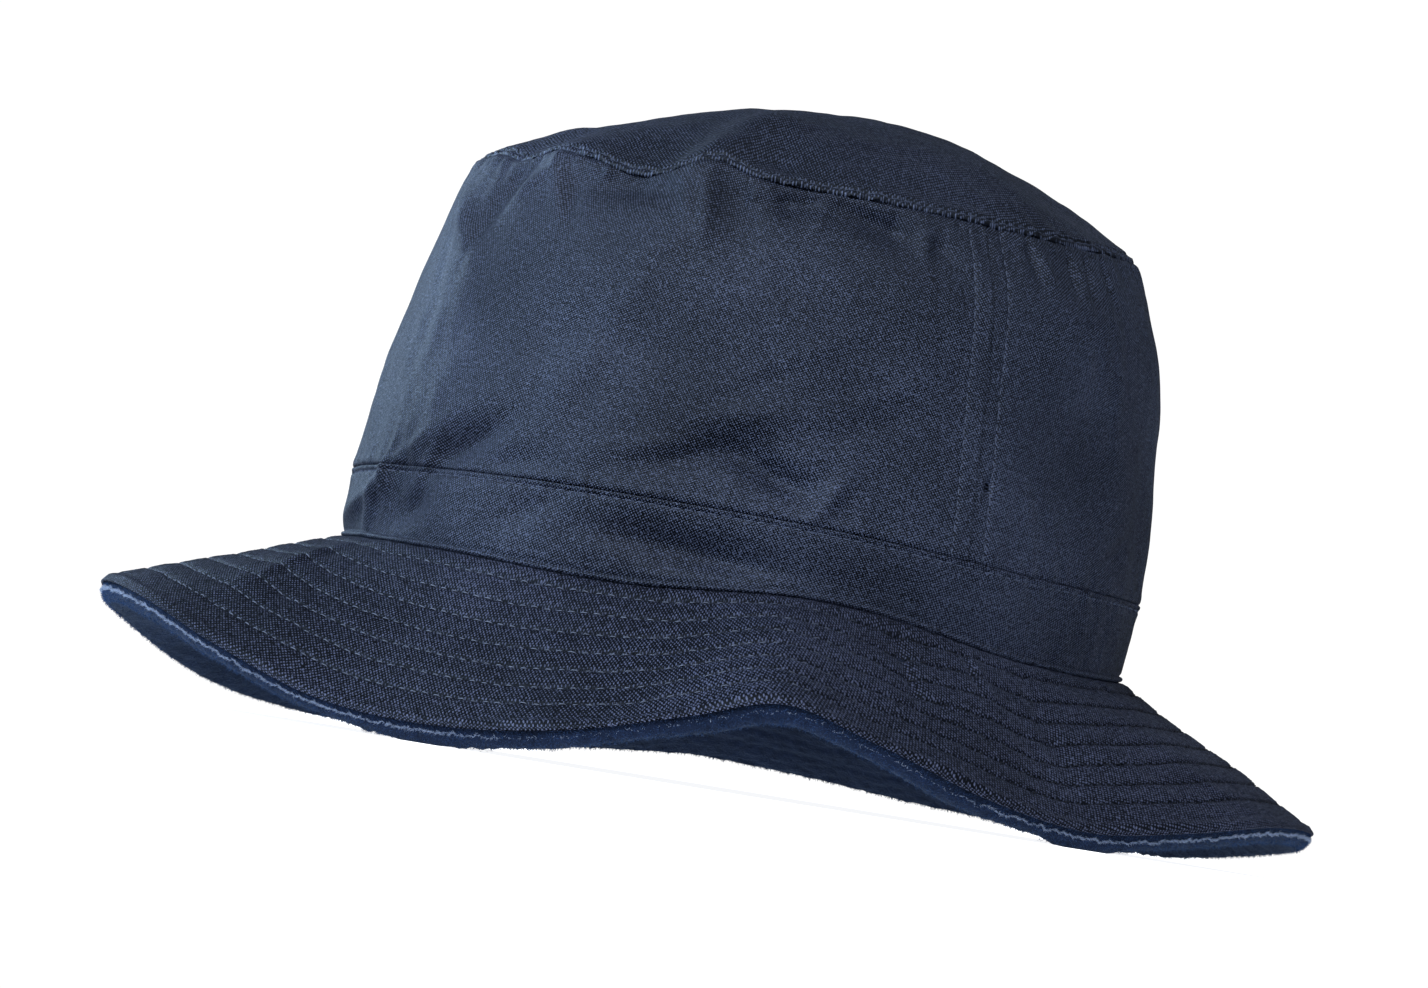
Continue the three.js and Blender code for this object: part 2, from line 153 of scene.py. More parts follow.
def around(rows, col, deg):
    """A table's column as a smooth closed curve round the oval."""
    xs, ys = np.array([r[0] for r in rows], float), np.array([r[col] for r in rows], float)
    n = len(xs)
    d = np.asarray(deg, float) % 360.0
    i = (np.searchsorted(xs, d, side="right") - 1) % n
    span = (np.roll(xs, -1) - xs) % 360.0
    rise = (np.roll(ys, -1) - ys) / span
    slope = (np.roll(rise, 1) * span + rise * np.roll(span, 1)) / (np.roll(span, 1) + span)
    k = (i + 1) % n
    return hermite(((d - xs[i]) % 360.0) / span[i], ys[i], ys[k], slope[i] * span[i], slope[k] * span[i])


def through(at, values, t):
    """Smooth open curve through a few values."""
    n = len(at)
    rise = [(values[k + 1] - values[k]) / (at[k + 1] - at[k]) for k in range(n - 1)]

    def slope(k):
        if k == 0:
            return rise[0]
        if k == n - 1:
            return rise[-1] * 1.35
        a, b = at[k] - at[k - 1], at[k + 1] - at[k]
        return (rise[k - 1] * b + rise[k] * a) / (a + b)

    out = 0.0
    for k in range(n - 1):
        h = at[k + 1] - at[k]
        v = hermite((t - at[k]) / h, values[k], values[k + 1], slope(k) * h, slope(k + 1) * h)
        inside = (t >= at[k] if k else True) & (t < at[k + 1] if k < n - 2 else True)
        out = out + np.where(inside, v, 0.0)
    return out


def outward(deg):
    a = np.radians(deg)
    n = np.stack([np.cos(a) / A, np.sin(a) / B, np.zeros_like(a)], -1)
    return n / np.linalg.norm(n, axis=-1, keepdims=True)


def oval(deg, out, z):
    a = np.radians(deg)
    p = np.stack([A * np.cos(a), B * np.sin(a), np.zeros_like(a)], -1) + outward(deg) * np.asarray(out)[..., None]
    p[..., 2] = z
    return p


def folds(table, over_up):
    total = 0.0
    for f in table:
        over, up = over_up(f)
        c, s = math.cos(math.radians(f[4])), math.sin(math.radians(f[4]))
        total = total + f[5] * np.exp(-((up * c + over * s) / f[2]) ** 2 - ((over * c - up * s) / f[3]) ** 2)
    return total


def wave(deg):
    return sum(w[2] * bell(apart(deg, w[0]) / w[1]) for w in WAVES)


class Ripple:
    """Smooth seeded noise of about unit height: plane waves of one length in all directions."""

    def __init__(self, seed, length, waves=14, spread=0.35):
        r = np.random.default_rng(seed)
        v = r.normal(size=(waves, 3))
        v /= np.linalg.norm(v, axis=1, keepdims=True)
        self.k = v * (2 * math.pi / (length * (1 + spread * r.uniform(-1, 1, waves))))[:, None]
        self.p = r.uniform(0, 2 * math.pi, waves)
        self.g = math.sqrt(2.0 / waves)

    def __call__(self, points):
        out = 0.0
        for k, p in zip(self.k, self.p):
            out = out + np.sin(points @ k + p)
        return out * self.g


class Line:
    """Smooth seeded noise of about unit height along one length in mm."""

    def __init__(self, seed, length, waves=9, spread=0.5):
        r = np.random.default_rng(seed)
        self.k = 2 * math.pi / (length * (1 + spread * r.uniform(-1, 1, waves)))
        self.p = r.uniform(0, 2 * math.pi, waves)
        self.g = math.sqrt(2.0 / waves)

    def __call__(self, s):
        return self.g * sum(np.sin(s * k + p) for k, p in zip(self.k, self.p))


# ---------------------------------------------------------------- form
def section(deg):
    return [around(SECTIONS, c, deg) for c in range(1, 8)]


def wall(deg, t):
    """Crown's side without its fine detail, as the CAD walls have it."""
    deg, t = np.broadcast_arrays(np.asarray(deg, float), np.asarray(t, float))
    seam_z, band_z, top_z, band, belly, shoulder, top = section(deg)
    out = through(SECTION_AT, [0.0 * deg, band, belly, shoulder, top], t)
    z = np.where(t < BAND, seam_z + (band_z - seam_z) * t / BAND, band_z + (top_z - band_z) * (t - BAND) / (1 - BAND))
    fold = smooth(t / 0.06) * folds(FOLDS, lambda f: (np.radians(apart(deg, f[0])) * MEAN_RADIUS, z - f[1]))
    return oval(deg, out + fold, z + wave(deg) * bell((top_z - z) / 18))


def crest(deg, rho):
    """Crown top: rho 1 at its seam to 0 at its crest."""
    deg, rho = np.broadcast_arrays(np.asarray(deg, float), np.asarray(rho, float))
    edge = wall(deg, np.ones_like(deg))
    seam_z, band_z, top_z, band, belly, shoulder, top = section(deg)
    plain = oval(deg, top, top_z)
    power = around(DOME, 1, deg)
    reach = np.hypot(plain[..., 0] - DOME_X, plain[..., 1])
    p = np.stack([
        DOME_X + (plain[..., 0] - DOME_X) * rho, plain[..., 1] * rho,
        TOP_Z + (plain[..., 2] - TOP_Z) * rho ** 2 + DOME_HEIGHT * (1 - np.maximum(rho, 1e-9) ** power)], -1)
    p = p + (edge - plain) * bell((1 - rho) * reach / 17)[..., None]
    p[..., 2] += smooth((1 - rho) / 0.12) * folds(
        TOP_FOLDS, lambda f: (np.radians(apart(deg, f[0])) * rho * reach, (f[1] - rho) * reach))
    return p


def brim(deg, q):
    """Brim's upper face: q 0 at the seam to 1 at the edge."""
    deg, q = np.broadcast_arrays(np.asarray(deg, float), np.asarray(q, float))
    seam_z = section(deg)[0]
    edge_z = around(EDGE, 1, deg)
    flare = np.radians(np.maximum(around(EDGE, 2, deg), 0.01))
    start = np.arcsin((seam_z - edge_z) / (BRIM * np.sin(flare) / flare)) + flare
    here = start - 2 * flare * q
    reach = BRIM * (np.sin(start) - np.sin(here)) / (2 * flare)
    fall = BRIM * (np.cos(here) - np.cos(start)) / (2 * flare)
    p = oval(deg, reach + GAP, seam_z - fall)
    p[..., 2] += smooth(q / 0.12) * folds(
        BRIM_FOLDS, lambda f: (np.radians(apart(deg, f[0])) * (MEAN_RADIUS + reach), (q - f[1]) * BRIM))
    return p


def normal(surface, deg, v, rim=1.0):
    """Unit normal of a surface, pointing up or out."""
    lo, hi = np.maximum(v - 0.01, 0.001), np.minimum(v + 0.01, rim)
    across = surface(deg + 0.4, v) - surface(deg - 0.4, v)
    along = surface(deg, hi) - surface(deg, lo)
    n = np.cross(across, along)
    n /= np.linalg.norm(n, axis=-1, keepdims=True)
    return n * np.where(n[..., 2:3] < 0, -1.0, 1.0)


def layer(deg, q, depth):
    """Point of the brim below its upper face, square to the cloth but upright at the seam."""
    deg, q, depth = np.broadcast_arrays(np.asarray(deg, float), np.asarray(q, float), np.asarray(depth, float))
    square = -normal(brim, deg, q)
    mix = smooth(q / 0.16)[..., None]
    way = np.array([0.0, 0.0, -1.0]) * (1 - mix) + square * mix
    way /= np.linalg.norm(way, axis=-1, keepdims=True)
    return brim(deg, q) + way * (depth / (way * square).sum(-1))[..., None]


# ---------------------------------------------------------------- fine detail
drape = Ripple(3, 46.0)
crumple = Ripple(4, 17.0)
crease = Ripple(5, 7.0)
pull = Ripple(9, 7.5)
SLANT = np.array([[1.0, 0.0, 0.55], [0.0, 1.0, 0.30], [0.15, 0.0, 0.35]])     # draws the pulls out along one slant
pucker_a, pucker_b = Line(6, 5.5), Line(7, 8.0)


def roll(distance, radius):
    """How far a cloth's face falls away at a folded edge."""
    d = np.clip(distance / radius, 0.0, 1.0)
    return radius * (1 - np.sqrt(1 - (1 - d) ** 2))


def gathers(seed, count, deep, run):
    """Seeded short pleats along a seam: deg, half width, depth, run, lean."""
    r = np.random.default_rng(seed)
    rows = []
    for k in range(count):
        rows.append((360.0 * (k + r.uniform(-0.4, 0.4)) / count, r.uniform(0.8, 2.2),
                     deep * r.uniform(0.3, 1.0) * (1 if r.random() < 0.35 else -1), run * r.uniform(0.5, 1.2), r.uniform(-0.45, 0.45)))
    return rows


TOP_PLEATS = gathers(21, 84, 0.75, 9.0)
TIP_PLEATS = gathers(22, 76, 0.5, 7.0)
BAND_PLEATS = gathers(23, 70, 0.32, 6.0)


def pleats(rows, deg, radius, down):
    total = 0.0
    for at, half, deep, run, lean in rows:
        over = np.radians(apart(deg, at)) * radius - lean * down
        total = total + deep * np.exp(-(over / half) ** 2) * np.exp(-(down / run) ** 2)
    return total


def side_detail(deg, t, p, part):
    """How far the crown's side or band stands out beyond the plain form."""
    seam_z, band_z, top_z = section(deg)[:3]
    z = p[..., 2]
    top = top_z + wave(deg)
    radius = np.hypot(p[..., 0], p[..., 1])
    d = 1.28 * folds(CREASES, lambda f: (np.radians(apart(deg, f[0])) * MEAN_RADIUS, z - f[1]))
    calm = smooth(t / 0.08)
    d = d + calm * (0.34 * drape(p) + 0.12 * crumple(p) * (0.5 + 0.5 * np.tanh(drape(p[..., ::-1]))) + 0.02 * crease(p))
    d = d + calm * 0.11 * pull(p @ SLANT) * smooth(0.5 + 0.6 * drape(p * 1.3 + 40.0))
    s = np.radians(deg) * MEAN_RADIUS
    if part == "crown":
        low, high = z - band_z, top - z
        for at in SIDE_SEAMS:
            # the near and far seams are lapped the same way, the longer panel over the shorter
            v = np.radians(apart(deg, at)) * radius * (1 if at > 180 else -1)
            a = np.abs(v)
            over = 0.56 * np.exp(-(a / 5.0) ** 6) - 0.90 * roll(a, 0.5) + 0.14 * bell((a - 0.6) / 0.4)
            below = -0.14 * np.exp(-(a / 5.0) ** 6) - 0.32 * bell(a / 0.75)
            d = d + np.where(v < 0, over, below) - 0.36 * bell((a - SEAM_LINE) / 0.42)
            d = d + 0.07 * pucker_a(z + at) * bell((a - SEAM_LINE) / 1.6) + 0.06 * pucker_b(z - at) * bell((a - 7) / 3.0)
        quiet = 1 - 0.7 * bell(apart(deg, 279) / 19)
        d = d - 0.9 * roll(low, 0.9) + 0.24 * bell((low - 1.6) / 1.3) + 0.12 * pucker_b(s) * bell(low / 5.0)
        bead = pucker_b(s * 1.7 + 11) * 0.6 + pucker_a(s * 1.3) * 0.5
        d = d - 1.0 * roll(high, 1.1) * (1 + 0.48 * bead) + quiet * pleats(TOP_PLEATS, deg, radius, high)
        d = d + (0.2 + 0.18 * bead) * bell((high - 2.0) / 1.5) - 0.36 * bell((high - 0.15) / 0.5)
    else:
        low, high = z - seam_z, band_z - z
        d = d - 0.4 * roll(high, 0.4) - 0.30 * bell((high - 1.5) / 0.42) + 0.14 * bell((high - 0.5) / 0.5)
        d = d + 0.10 * pucker_a(s) * bell((high - 1.5) / 2.0) + pleats(BAND_PLEATS, deg, radius, high)
        d = d + np.where(low > 0, pleats(BAND_PLEATS[::-1], -deg, radius, np.abs(low)) * smooth(low / 2.5), 0.0)
        welt = np.sqrt(np.clip(1 - ((low - 0.72) / 0.72) ** 2, 0, 1))
        d = d * smooth((low + 0.2) / 1.6) + 0.80 * welt - 0.30 * bell((low - 1.6) / 0.35)
        d = np.where(low < -0.3, -0.25, d)
    return d


def side(deg, t, part, lift=0.0):
    """Crown's side or band with its fine detail."""
    deg, t = np.broadcast_arrays(np.asarray(deg, float), np.asarray(t, float))
    p = wall(deg, np.maximum(t, 0.0))
    p[..., 2] += np.where(t < 0, t * TUCK, 0.0)
    return p + outward(deg) * (side_detail(deg, t, p, part) + lift)[..., None]


def tip_reach(deg):
    top, top_z = section(deg)[6], section(deg)[2]
    plain = oval(deg, top, top_z)
    return np.hypot(plain[..., 0] - DOME_X, plain[..., 1])


def tip(deg, rho, lift=0.0):
    """Crown top with its fine detail."""
    deg, rho = np.broadcast_arrays(np.asarray(deg, float), np.asarray(rho, float))
    p = crest(deg, rho)
    p[..., 2] += GAP / 2
    n = normal(crest, deg, rho)
    away = (1 - rho) * tip_reach(deg) * 1.06
    s = np.radians(deg) * 80.0
    d = 0.34 * drape(p) + 0.12 * crumple(p) + 0.02 * crease(p) + 0.06 * pull(p[..., [2, 0, 1]] @ SLANT)
    d = d * smooth(away / 6.0)
    bead = pucker_b(s * 1.6) * 0.6 + pucker_a(s * 1.2 + 5) * 0.5
    d = d - 0.8 * roll(away, 0.9) * (1 + 0.45 * bead) + (0.24 + 0.15 * bead) * bell((away - 0.9) / 0.5) - 0.34 * bell((away - 2.1) / 0.42)
    d = d + 0.16 * bell((away - 3.4) / 1.1) + 0.14 * pucker_a(s) * bell((away - 2.1) / 2.0)
    d = d + pleats(TIP_PLEATS, deg, 80.0, np.abs(away - 1.2))
    return p + n * (d + lift)[..., None]


quilt_noise = [Line(40 + k, 6.5) for k in range(ROWS + 1)]


def brim_detail(deg, q, p):
    """How far the brim's upper face is puffed up between its rings of stitches."""
    away = q * BRIM
    s = np.radians(deg) * (MEAN_RADIUS + away * 0.85)
    k = np.clip(np.floor((away - ROW_FIRST) / ROW_STEP) + 1, 0, ROWS).astype(int)
    start = np.where(k == 0, 0.0, ROW_FIRST + (k - 1) * ROW_STEP)
    width = np.where(k == 0, ROW_FIRST, np.where(k == ROWS, BRIM - start, ROW_STEP))
    u = (away - start) / width
    puff = np.clip(4 * u * (1 - u), 0.0, 1.0) ** 0.8
    near_row = np.minimum(away - start + np.where(k == 0, 9, 0), start + width - away + np.where(k == ROWS, 9, 0))
    ripple = np.zeros_like(s)
    for j in range(ROWS + 1):
        ripple = np.where(k == j, quilt_noise[j](s + 0.35 * away), ripple)
    d = 0.31 * puff + (0.04 + 0.055 * bell(near_row / 2.2)) * ripple
    d = d + 0.32 * smooth(q / 0.15) * drape(p) + 0.08 * crumple(p) + 0.05 * pull(p @ SLANT)
    d = d + folds(PINCHES, lambda f: (np.radians(apart(deg, f[0])) * (MEAN_RADIUS + away), (q - f[1]) * BRIM))
    d = d - 0.42 * bell(near_row / 0.42)
    return d


def brim_top(deg, q, lift=0.0):
    """Brim's upper face with its quilting, seam edge and rolled outer edge."""
    deg, q = np.broadcast_arrays(np.asarray(deg, float), np.asarray(q, float))
    p = brim(deg, q)
    away = q * BRIM
    edge = BRIM - away
    d = brim_detail(deg, q, p) * smooth(edge / 3.0) * smooth((away + 0.6) / 2.0)
    d = d - 0.5 * roll(away, 0.6) - 0.40 * (1 - smooth(edge / 3.4)) + 0.42 * bell((edge - 1.9) / 1.0) - 0.15 * bell((edge - 4.4) / 0.9)
    return layer(deg, q, -(d + lift))


# ---------------------------------------------------------------- meshes
MM = 0.001


def piece(name, points, faces, materials, face_material=None, uv=None):
    """A mesh object from arrays, in millimetres round the oval's middle."""
    mesh = bpy.data.meshes.new(name)
    co = ((points + MIDDLE) * MM).astype(np.float32)
    mesh.vertices.add(len(co))
    mesh.vertices.foreach_set("co", co.ravel())
    counts = np.concatenate([np.full(len(f), f.shape[1]) for f in faces]).astype(np.int32)
    loops = np.concatenate([f.ravel() for f in faces]).astype(np.int32)
    mesh.loops.add(len(loops))
    mesh.loops.foreach_set("vertex_index", loops)
    mesh.polygons.add(len(counts))
    starts = np.concatenate([[0], np.cumsum(counts)[:-1]]).astype(np.int32)
    mesh.polygons.foreach_set("loop_start", starts)
    mesh.polygons.foreach_set("use_smooth", np.ones(len(counts), bool))
    if face_material is not None:
        mesh.polygons.foreach_set("material_index", face_material.astype(np.int32))
    mesh.update(calc_edges=True)
    if uv is not None:
        lay = mesh.uv_layers.new(name="cloth")
        lay.data.foreach_set("uv", uv[loops].astype(np.float32).ravel())
    mesh.validate()
    for m in materials:
        mesh.materials.append(m)
    o = bpy.data.objects.new(name, mesh)
    bpy.context.scene.collection.objects.link(o)
    return o


def volume(points, faces):
    total = 0.0
    for f in faces:
        for k in range(1, f.shape[1] - 1):
            total += np.einsum("ij,ij->", points[f[:, 0]], np.cross(points[f[:, k]], points[f[:, k + 1]]))
    return total


def loft(name, ring, wrap, outer_rows, materials, uv, ends=None):
    """Closed body from closed profiles: ring[k, i] is point k of the profile at column i. The first
    outer_rows points are the face that shows, and have the first material. ends=(first, last) is
    for a top whose profile starts and stops at a pole instead of closing."""
    K, N = ring.shape[:2]
    idx = np.arange(K * N).reshape(K, N)
    points = ring.reshape(-1, 3)
    uvs = uv.reshape(-1, 2)
    rows = np.arange(K if ends is None else K - 1)
    cols = np.arange(N if wrap else N - 1)
    kk, ii = np.meshgrid(rows, cols, indexing="ij")
    k2, i2 = (kk + 1) % K, (ii + 1) % N
    quads = np.stack([idx[kk, ii], idx[kk, i2], idx[k2, i2], idx[k2, ii]], -1).reshape(-1, 4)
    mat = (kk >= outer_rows - 1).astype(int).ravel()
    faces, mats = [quads], [mat]
    tris = []
    if ends is not None:
        points = np.concatenate([points, np.array(ends)])
        uvs = np.concatenate([uvs, np.zeros((2, 2))])
        a, b = K * N, K * N + 1
        i, j = np.arange(N), (np.arange(N) + 1) % N
        tris = np.concatenate([np.stack([np.full(N, a), idx[0, j], idx[0, i]], -1), np.stack([np.full(N, b), idx[-1, i], idx[-1, j]], -1)])
        faces.append(tris)
        mats.append(np.concatenate([np.zeros(N), np.ones(N)]))
    elif not wrap:
        n_in = K - outer_rows
        cap = []
        for col, flip in ((0, False), (N - 1, True)):
            o = idx[:outer_rows, col]
            b = idx[outer_rows:, col][::-1]
            g = np.round(np.arange(outer_rows) * (n_in - 1) / (outer_rows - 1)).astype(int)
            for j in range(outer_rows - 1):
                t = [(o[j], o[j + 1], b[g[j + 1]])]
                if g[j] != g[j + 1]:
                    t.append((o[j], b[g[j + 1]], b[g[j]]))
                cap += [(x[0], x[2], x[1]) if flip else x for x in t]
        faces.append(np.array(cap))
        mats.append(np.zeros(len(cap)))
    if volume(points, faces) < 0:
        faces = [f[:, ::-1] for f in faces]
    return piece(name, points, faces, materials, np.concatenate(mats), uvs)


def steps(length, step, first=True, last=True, marks=()):
    """Distances from 0 to length, closer together at a folded edge and at the marks."""
    near = np.array([0.0, 0.12, 0.3, 0.52, 0.8, 1.15, 1.6])
    body = np.linspace(2.2 if first else 0.0, length - (2.2 if last else 0.0), max(2, int(round((length - 4.4) / step)) + 1))
    for m in marks:
        body = body[np.abs(body - m) > 1.0]
        body = np.concatenate([body, m + np.array([-0.8, -0.45, -0.2, 0.0, 0.2, 0.45, 0.8])])
    return np.unique(np.round(np.concatenate([near if first else [], body, (length - near)[::-1] if last else []]), 4))


# ---------------------------------------------------------------- materials
def nodes_of(name):
    m = bpy.data.materials.new(name)
    m.use_nodes = True
    t = m.node_tree
    t.nodes.clear()
    out = t.nodes.new("ShaderNodeOutputMaterial")
    b = t.nodes.new("ShaderNodeBsdfPrincipled")
    t.links.new(b.outputs[0], out.inputs[0])
    return m, t, b


def math_node(t, op, a, b=None, c=None):
    n = t.nodes.new("ShaderNodeMath")
    n.operation = op
    for i, v in enumerate((a, b, c)):
        if v is None:
            continue
        if isinstance(v, (int, float)):
            n.inputs[i].default_value = v
        else:
            t.links.new(v, n.inputs[i])
    return n.outputs[0]


def ramp(t, source, stops, ease="LINEAR"):
    n = t.nodes.new("ShaderNodeValToRGB")
    n.color_ramp.interpolation = ease
    e = n.color_ramp.elements
    while len(e) < len(stops):
        e.new(0.5)
    for x, (at, c) in zip(e, stops):
        x.position = at
        x.color = (*c, 1.0) if hasattr(c, "__len__") else (c, c, c, 1.0)
    t.links.new(source, n.inputs[0])
    return n.outputs[0]


def noise(t, vector, scale, detail=3.0, rough=0.5):
    n = t.nodes.new("ShaderNodeTexNoise")
    n.inputs["Scale"].default_value = scale
    n.inputs["Detail"].default_value = detail
    n.inputs["Roughness"].default_value = rough
    t.links.new(vector, n.inputs["Vector"])
    return n.outputs["Fac"]


def woven(name, dark, light, rough, sheen, weave=0.56, bump=0.9, gloss=0.5, low=0.635, high=0.80, rows=0.0):
    """Smooth coated twill: fine slanting ribs, slubs, cloudy shade and a soft sheen. rows is how much darker the cloth
    is painted along the stitch rows that the attribute painted_row_shade gives: painted shade in the rows' grooves."""
    m, t, b = nodes_of(name)
    uv = t.nodes.new("ShaderNodeUVMap")
    uv.uv_map = "cloth"
    place = t.nodes.new("ShaderNodeTexCoord").outputs["Object"]
    vec = uv.outputs[0]

    def ribs(angle, period, bend=0.6):
        mp = t.nodes.new("ShaderNodeMapping")
        mp.inputs["Rotation"].default_value = (0, 0, math.radians(angle))
        t.links.new(vec, mp.inputs["Vector"])
        w = t.nodes.new("ShaderNodeTexWave")
        w.wave_type = "BANDS"
        w.bands_direction = "X"
        w.inputs["Scale"].default_value = 2 * math.pi / (20 * period)
        w.inputs["Distortion"].default_value = bend
        w.inputs["Detail"].default_value = 1.0
        w.inputs["Detail Scale"].default_value = 1.5
        t.links.new(mp.outputs[0], w.inputs["Vector"])
        return w.outputs["Fac"]

    twill = ribs(58, weave)
    cross = ribs(-32, weave * 1.12)
    grain = noise(t, vec, 1.5, 2.0, 0.85)
    slub = noise(t, vec, 0.5, 2.0, 0.6)
    cloudy = noise(t, place, 26.0, 4.0, 0.55)
    blot = noise(t, place, 9.0, 2.0, 0.5)
    yarn = math_node(t, "MULTIPLY", twill, cross)
    height = math_node(t, "ADD", math_node(t, "MULTIPLY", yarn, 0.9), math_node(t, "MULTIPLY", grain, 1.5))
    bp = t.nodes.new("ShaderNodeBump")
    bp.inputs["Strength"].default_value = bump
    bp.inputs["Distance"].default_value = 0.00015
    t.links.new(height, bp.inputs["Height"])
    t.links.new(bp.outputs[0], b.inputs["Normal"])
    shade = math_node(t, "ADD", math_node(t, "MULTIPLY", yarn, 0.55), math_node(t, "MULTIPLY", grain, 1.5))
    shade = math_node(t, "ADD", shade, math_node(t, "MULTIPLY", slub, 0.3))
    shade = math_node(t, "ADD", shade, math_node(t, "MULTIPLY", cloudy, 0.35))
    shade = math_node(t, "ADD", shade, math_node(t, "MULTIPLY", blot, 0.2))
    color = ramp(t, math_node(t, "MULTIPLY", shade, 0.5), [(low, dark), (high, light)])
    # painted shade: the colour is mixed towards the dark colour along the stitch rows
    if rows:
        line = t.nodes.new("ShaderNodeAttribute")
        line.attribute_name = "painted_row_shade"
        mix = t.nodes.new("ShaderNodeMix")
        mix.data_type = "RGBA"
        t.links.new(math_node(t, "MULTIPLY", line.outputs["Fac"], rows), mix.inputs[0])
        t.links.new(color, mix.inputs[6])
        mix.inputs[7].default_value = (*dark, 1.0)
        color = mix.outputs[2]
    t.links.new(color, b.inputs["Base Color"])
    uneven = math_node(t, "ADD", math_node(t, "MULTIPLY", slub, 0.2), math_node(t, "MULTIPLY", cloudy, 0.2))
    r = ramp(t, math_node(t, "ADD", uneven, math_node(t, "MULTIPLY", grain, 0.6)), [(0.38, rough + 0.16), (0.62, rough - 0.11)])
    t.links.new(r, b.inputs["Roughness"])
    b.inputs["Specular IOR Level"].default_value = gloss
    b.inputs["Specular Tint"].default_value = (0.60, 0.74, 1.0, 1.0)
    b.inputs["Sheen Weight"].default_value = sheen
    b.inputs["Sheen Roughness"].default_value = 0.32
    b.inputs["Sheen Tint"].default_value = (0.50, 0.66, 1.0, 1.0)
    return m


def thread(name, color, painted_shade=None):
    """Sewing thread. painted_shade is a darker colour painted on it towards the right, as painted shade; the lighter
    colour on the left stands in for the light the thread catches there.
    """
    m, t, b = nodes_of(name)
    place = t.nodes.new("ShaderNodeTexCoord").outputs["Object"]
    speck = noise(t, place, 700.0, 2.0)
    c = ramp(t, speck, [(0.3, tuple(0.75 * x for x in color)), (0.7, tuple(1.3 * x for x in color))])
    if painted_shade:
        # painted shade: the thread's colour is mixed to the darker one from x 14 mm to x 36 mm, towards the right
        apart_xyz = t.nodes.new("ShaderNodeSeparateXYZ")
        t.links.new(place, apart_xyz.inputs[0])
        share = t.nodes.new("ShaderNodeMapRange")
        share.inputs["From Min"].default_value = 0.014
        share.inputs["From Max"].default_value = 0.036
        t.links.new(apart_xyz.outputs[0], share.inputs["Value"])
        mix = t.nodes.new("ShaderNodeMix")
        mix.data_type = "RGBA"
        t.links.new(share.outputs[0], mix.inputs[0])
        t.links.new(c, mix.inputs[6])
        t.links.new(ramp(t, speck, [(0.3, tuple(0.75 * x for x in painted_shade)), (0.7, tuple(1.3 * x for x in painted_shade))]), mix.inputs[7])
        c = mix.outputs[2]
    t.links.new(c, b.inputs["Base Color"])
    bp = t.nodes.new("ShaderNodeBump")
    bp.inputs["Strength"].default_value = 0.4
    bp.inputs["Distance"].default_value = 0.00008
    t.links.new(noise(t, place, 2600.0, 1.0), bp.inputs["Height"])
    t.links.new(bp.outputs[0], b.inputs["Normal"])
    b.inputs["Roughness"].default_value = 0.5
    b.inputs["Specular IOR Level"].default_value = 0.3
    b.inputs["Sheen Weight"].default_value = 0.12
    b.inputs["Sheen Tint"].default_value = (0.6, 0.75, 1.0, 1.0)
    return m


def fleece(name, dark, light, sheen, tint=(0.45, 0.66, 1.0)):
    m, t, b = nodes_of(name)
    place = t.nodes.new("ShaderNodeTexCoord").outputs["Object"]
    clump = noise(t, place, 420.0, 4.0, 0.65)
    fluff = noise(t, place, 1500.0, 3.0, 0.7)
    cloudy = noise(t, place, 40.0, 3.0, 0.5)
    mixed = math_node(t, "ADD", math_node(t, "MULTIPLY", clump, 0.5), math_node(t, "MULTIPLY", fluff, 0.35))
    mixed = math_node(t, "ADD", mixed, math_node(t, "MULTIPLY", cloudy, 0.25))
    t.links.new(ramp(t, mixed, [(0.36, dark), (0.74, light)]), b.inputs["Base Color"])
    bp = t.nodes.new("ShaderNodeBump")
    bp.inputs["Strength"].default_value = 0.9
    bp.inputs["Distance"].default_value = 0.0006
    t.links.new(math_node(t, "ADD", clump, math_node(t, "MULTIPLY", fluff, 0.7)), bp.inputs["Height"])
    t.links.new(bp.outputs[0], b.inputs["Normal"])
    b.inputs["Roughness"].default_value = 0.95
    b.inputs["Specular IOR Level"].default_value = 0.1
    b.inputs["Sheen Weight"].default_value = sheen
    b.inputs["Sheen Roughness"].default_value = 0.5
    b.inputs["Sheen Tint"].default_value = (*tint, 1.0)
    return m


NAVY = woven("navy_twill", (0.0010, 0.0016, 0.0042), (0.106, 0.139, 0.252), 0.42, 0.05, gloss=0.5)
# rows=0.62 paints shade along the brim's rings of stitches
QUILT = woven("quilted_twill", (0.0008, 0.0014, 0.0040), (0.124, 0.154, 0.282), 0.49, 0.05, gloss=0.27, low=0.665, high=0.815, rows=0.62)
INNER = woven("inner_face", (0.006, 0.009, 0.019), (0.026, 0.036, 0.070), 0.8, 0.1, gloss=0.2, low=0.575, high=0.74)
# the brim's thread: pale on the left as a painted highlight, near black towards the right as painted shade
THREAD = thread("navy_thread", (0.170, 0.212, 0.320), (0.007, 0.011, 0.022))
SEAM_THREAD = thread("seam_thread", (0.090, 0.120, 0.205))
# one blue fleece in lighter and darker copies: rim_fibres lighter, as painted light on the rim strip; the lining and
# its under fibres darker, partly painted shade of the underside
FLEECE = fleece("blue_pile", (0.0032, 0.0068, 0.0210), (0.014, 0.027, 0.074), 0.20)
FIBRE = fleece("pile_fibres", (0.010, 0.019, 0.050), (0.038, 0.068, 0.165), 0.26)
RIM = fleece("rim_fibres", (0.012, 0.030, 0.085), (0.042, 0.095, 0.270), 0.26, (0.34, 0.56, 1.0))
# pile_tips_painted_highlight: near-white fibres, a painted highlight of the rim's lit fringe
LIT_TIPS = fleece("pile_tips_painted_highlight", (0.27, 0.37, 0.60), (0.58, 0.70, 0.95), 0.5)

# ---------------------------------------------------------------- pieces
made = {}


